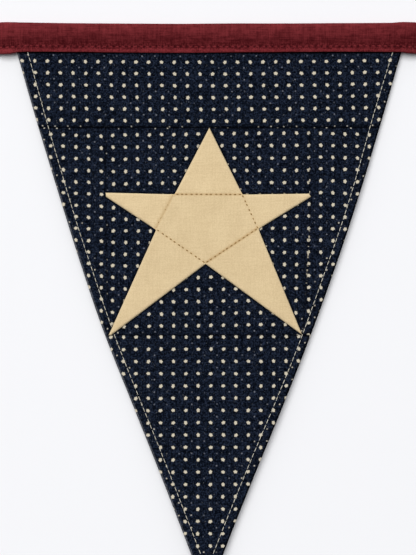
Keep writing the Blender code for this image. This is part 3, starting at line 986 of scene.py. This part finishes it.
# The two faces that a row of stitches lies on: which way each faces, and how far back the tape's lies
Face = namedtuple("Face", "side out")
FRONT_FACE = Face(side=-1.0, out=-1.02)
BACK_FACE = Face(side=1.0, out=2.12)


def thread_material(name, deep, light):
    """Spun cotton thread, lighter and darker along its twist."""
    material, shader, shade = new_material(name, roughness=0.75)
    across, depth = cloth_places(shade)
    twist = ((across + depth) * (math.tau / THREAD_TWIST)).math("SINE")
    tone = twist * 0.25 + grain(across, depth, 0.5, 0.5, 7.7)
    finish_cloth(shader, tone.ramp(0.2, 0.8).mix(linear(deep), linear(light)), twist, relief=0.03)
    return material


def add_stitch(bm, stitch, across, level, depth, run, side=FRONT_FACE.side):
    """One stitch on the cloth's face: run is its direction across and down, side is -1 on the front."""
    along = Vector((run[0], 0.0, -run[1])).normalized()
    out = Vector((0.0, side, 0.0))
    beside = along.cross(out)
    place = Vector((across, level + side * stitch.lift, -depth))
    half = (stitch.length / 2.0, stitch.width / 2.0, stitch.width / 2.0)
    turn = Matrix([along * half[0], out * half[1], beside * half[2]]).transposed().to_4x4()
    placed = stitch_shape.copy()
    placed.transform(Matrix.Translation(place) @ turn)
    bm.from_mesh(placed)
    bpy.data.meshes.remove(placed)


def topstitch_line(side, depth):
    """How far across the row of topstitching inside a side edge lies at a depth."""
    inward = read_table(TOPSTITCH, side, depth)
    return read_table(SIDES, side, depth) + (inward if side == "left" else -inward)


def hem_level(across, depth, side):
    """The face of the cloth at the topstitching: the front, or the hem's back."""
    sunk = TROUGH_DEEP / 2.0
    flat_level = FRONT_LEVEL + sunk if side < 0.0 else BACK_LEVEL + HEM_THICK - sunk
    return flat_level + hanging_offset(across, depth)


stitch_shape = bpy.data.meshes.new("stitch")
round_bar = bmesh.new()
bmesh.ops.create_uvsphere(round_bar, u_segments=THREAD_SIDES, v_segments=THREAD_RINGS, radius=1.0)
round_bar.to_mesh(stitch_shape)
round_bar.free()
chance = random.Random(STITCH_SEED)
topstitching = bmesh.new()
for edge_name in ("left", "right"):
    depth = TOPSTITCH_START
    while depth < TOPSTITCH_END:
        across = topstitch_line(edge_name, depth)
        slant = chance.uniform(-TOP_STITCH_SLANT, TOP_STITCH_SLANT)
        run = (topstitch_line(edge_name, depth + 1.0) - across + slant, 1.0)
        for side in (FRONT_FACE.side, BACK_FACE.side):
            level = hem_level(across, depth, side)
            add_stitch(topstitching, TOP_STITCH, across, level, depth, run, side)
        depth += TOP_STITCH.pitch * SIDE_LEAN
cream_thread = thread_material("cream_thread", CREAM_THREAD_DEEP, CREAM_THREAD_LIGHT)
add_piece("hem_topstitching", topstitching, [cream_thread])

star_stitching = bmesh.new()
for ditch, row in zip(DITCHES, star_rows):
    run = Vector(row.end) - Vector(row.start)
    count = round(run.length / STAR_STITCH.pitch)
    for index in range(count):
        stray = chance.uniform(-STAR_STITCH_STRAY, STAR_STITCH_STRAY)
        place = Vector(row.start) + run * ((index + 0.5 + stray) / count)
        level = FRONT_LEVEL - STAR_PROUD + ditch.sunk + chance.uniform(*STAR_STITCH_SINK)
        level += hanging_offset(*place)
        slant_across = chance.uniform(-STAR_STITCH_SLANT, STAR_STITCH_SLANT)
        slant_down = chance.uniform(-STAR_STITCH_SLANT, STAR_STITCH_SLANT)
        lean = (run.x + slant_across, run.y + slant_down)
        add_stitch(star_stitching, STAR_STITCH, place.x, level, place.y, lean)
tan_thread = thread_material("tan_thread", TAN_THREAD_DEEP, TAN_THREAD_LIGHT)
add_piece("star_stitching", star_stitching, [tan_thread])

tape_stitching = bmesh.new()
count = round((tape_end - tape_start) / TAPE_STITCH.pitch)
for index in range(count):
    across = tape_start + (index + 0.5) * TAPE_STITCH.pitch
    for face in (FRONT_FACE, BACK_FACE):
        level, height = tape_shape(across, face.out, TAPE_STITCH_DOWN)
        run = (1.0, chance.uniform(*TAPE_STITCH_SLANT) * face.side)
        add_stitch(tape_stitching, TAPE_STITCH, across, level, -height, run, face.side)
burgundy_thread = thread_material("burgundy_thread", BURGUNDY_THREAD_DEEP, BURGUNDY_THREAD_LIGHT)
add_piece("tape_stitching", tape_stitching, [burgundy_thread])

# The setting: a pale wall just behind the bunting, a pale floor well below it, a big soft light at the
# upper left, a weaker one behind, and the camera square on to the pennant.
WALL_GAP = 0.1
WALL_HALF = 1500.0
FLOOR_BELOW = 450.0
WALL_WHITE = (0.84, 0.84, 0.85, 1.0)
FLOOR_WHITE = (0.80, 0.80, 0.81, 1.0)
ROOM_LOW = (0.09, 0.09, 0.094, 1.0)
ROOM_HIGH = (0.54, 0.55, 0.58, 1.0)
ROOM_SEEN = (0.90, 0.90, 0.91, 1.0)
ROOM_BLEND = 0.9
VIEW_ACROSS = -0.41
VIEW_DEPTH = 104.35
VIEW_HEIGHT = 227.6
LENS = 90.0
SENSOR = 36.0
CLIP_START = 0.01

# The lights' places, in metres from the middle of the view
Light = namedtuple("Light", "name place size power")
LIGHTS = (
    Light(name="key_light", place=(-0.90, -4.58, 1.52), size=3.8, power=245.0),
    Light(name="rear_light", place=(2.0, 4.2, 2.2), size=2.6, power=170.0),
)


def add_plane(name, colour, centre, rotation):
    """A plain matte plane of the setting."""
    bm = bmesh.new()
    placing = Matrix.Translation(Vector(centre) * MM) @ rotation
    bmesh.ops.create_grid(bm, x_segments=1, y_segments=1, size=WALL_HALF * MM, matrix=placing)
    mesh = bpy.data.meshes.new(name)
    bm.to_mesh(mesh)
    bm.free()
    plane = bpy.data.objects.new(name, mesh)
    bpy.context.scene.collection.objects.link(plane)
    material = bpy.data.materials.new(name)
    material.use_nodes = True
    shader = material.node_tree.nodes["Principled BSDF"]
    shader.inputs["Base Color"].default_value = colour
    shader.inputs["Roughness"].default_value = 1.0
    shader.inputs["Specular IOR Level"].default_value = 0.0
    mesh.materials.append(material)
    return plane


wall_place = (0.0, cad_box[1][1] / MM + WALL_GAP, 0.0)
wall = add_plane("wall", WALL_WHITE, wall_place, Matrix.Rotation(math.radians(90.0), 4, "X"))
wall.visible_diffuse = False
wall.visible_glossy = False
wall.visible_shadow = False
wall_tree = wall.data.materials[0].node_tree
wall_shade = Shade(wall_tree)
behind = wall_shade.node("ShaderNodeNewGeometry", {}, output="Backfacing")
clear = wall_shade.node("ShaderNodeBsdfTransparent", {})
lit = Shade(wall_tree, wall_tree.nodes["Principled BSDF"].outputs[0])
one_sided = wall_shade.node("ShaderNodeMixShader", {0: behind, 1: lit, 2: clear})
wall_tree.links.new(one_sided.socket, wall_tree.nodes["Material Output"].inputs["Surface"])
floor = add_plane("floor", FLOOR_WHITE, (0.0, 0.0, -FLOOR_BELOW), Matrix.Identity(4))
floor.visible_diffuse = False

aim = Vector((VIEW_ACROSS, 0.0, -VIEW_DEPTH)) * MM
for light in LIGHTS:
    lamp_data = bpy.data.lights.new(light.name, "AREA")
    lamp_data.shape = "SQUARE"
    lamp_data.size = light.size
    lamp_data.energy = light.power
    lamp = bpy.data.objects.new(light.name, lamp_data)
    lamp.location = aim + Vector(light.place)
    lamp.rotation_euler = (-Vector(light.place)).to_track_quat("-Z", "Y").to_euler()
    bpy.context.scene.collection.objects.link(lamp)

world = bpy.data.worlds.new("pale_room")
world.use_nodes = True
room = Shade(world.node_tree)
direction = room.node("ShaderNodeTexCoord", {}, output="Generated")
upwards = room.node("ShaderNodeSeparateXYZ", {0: direction}, output=2).ramp(-ROOM_BLEND, ROOM_BLEND)
seen = room.node("ShaderNodeLightPath", {}, output="Is Camera Ray")
room_light = upwards.mix(ROOM_LOW, ROOM_HIGH)
background = world.node_tree.nodes["Background"]
world.node_tree.links.new(seen.mix(room_light, ROOM_SEEN).socket, background.inputs["Color"])
bpy.context.scene.world = world
bpy.context.scene.view_settings.view_transform = "Standard"

camera_data = bpy.data.cameras.new("camera")
camera_data.lens = LENS
camera_data.sensor_width = SENSOR
camera_data.clip_start = CLIP_START
camera = bpy.data.objects.new("camera", camera_data)
camera.location = aim + Vector((0.0, -VIEW_HEIGHT * MM * LENS / SENSOR, 0.0))
camera.rotation_euler = (math.radians(90.0), 0.0, 0.0)
bpy.context.scene.collection.objects.link(camera)
bpy.context.scene.camera = camera
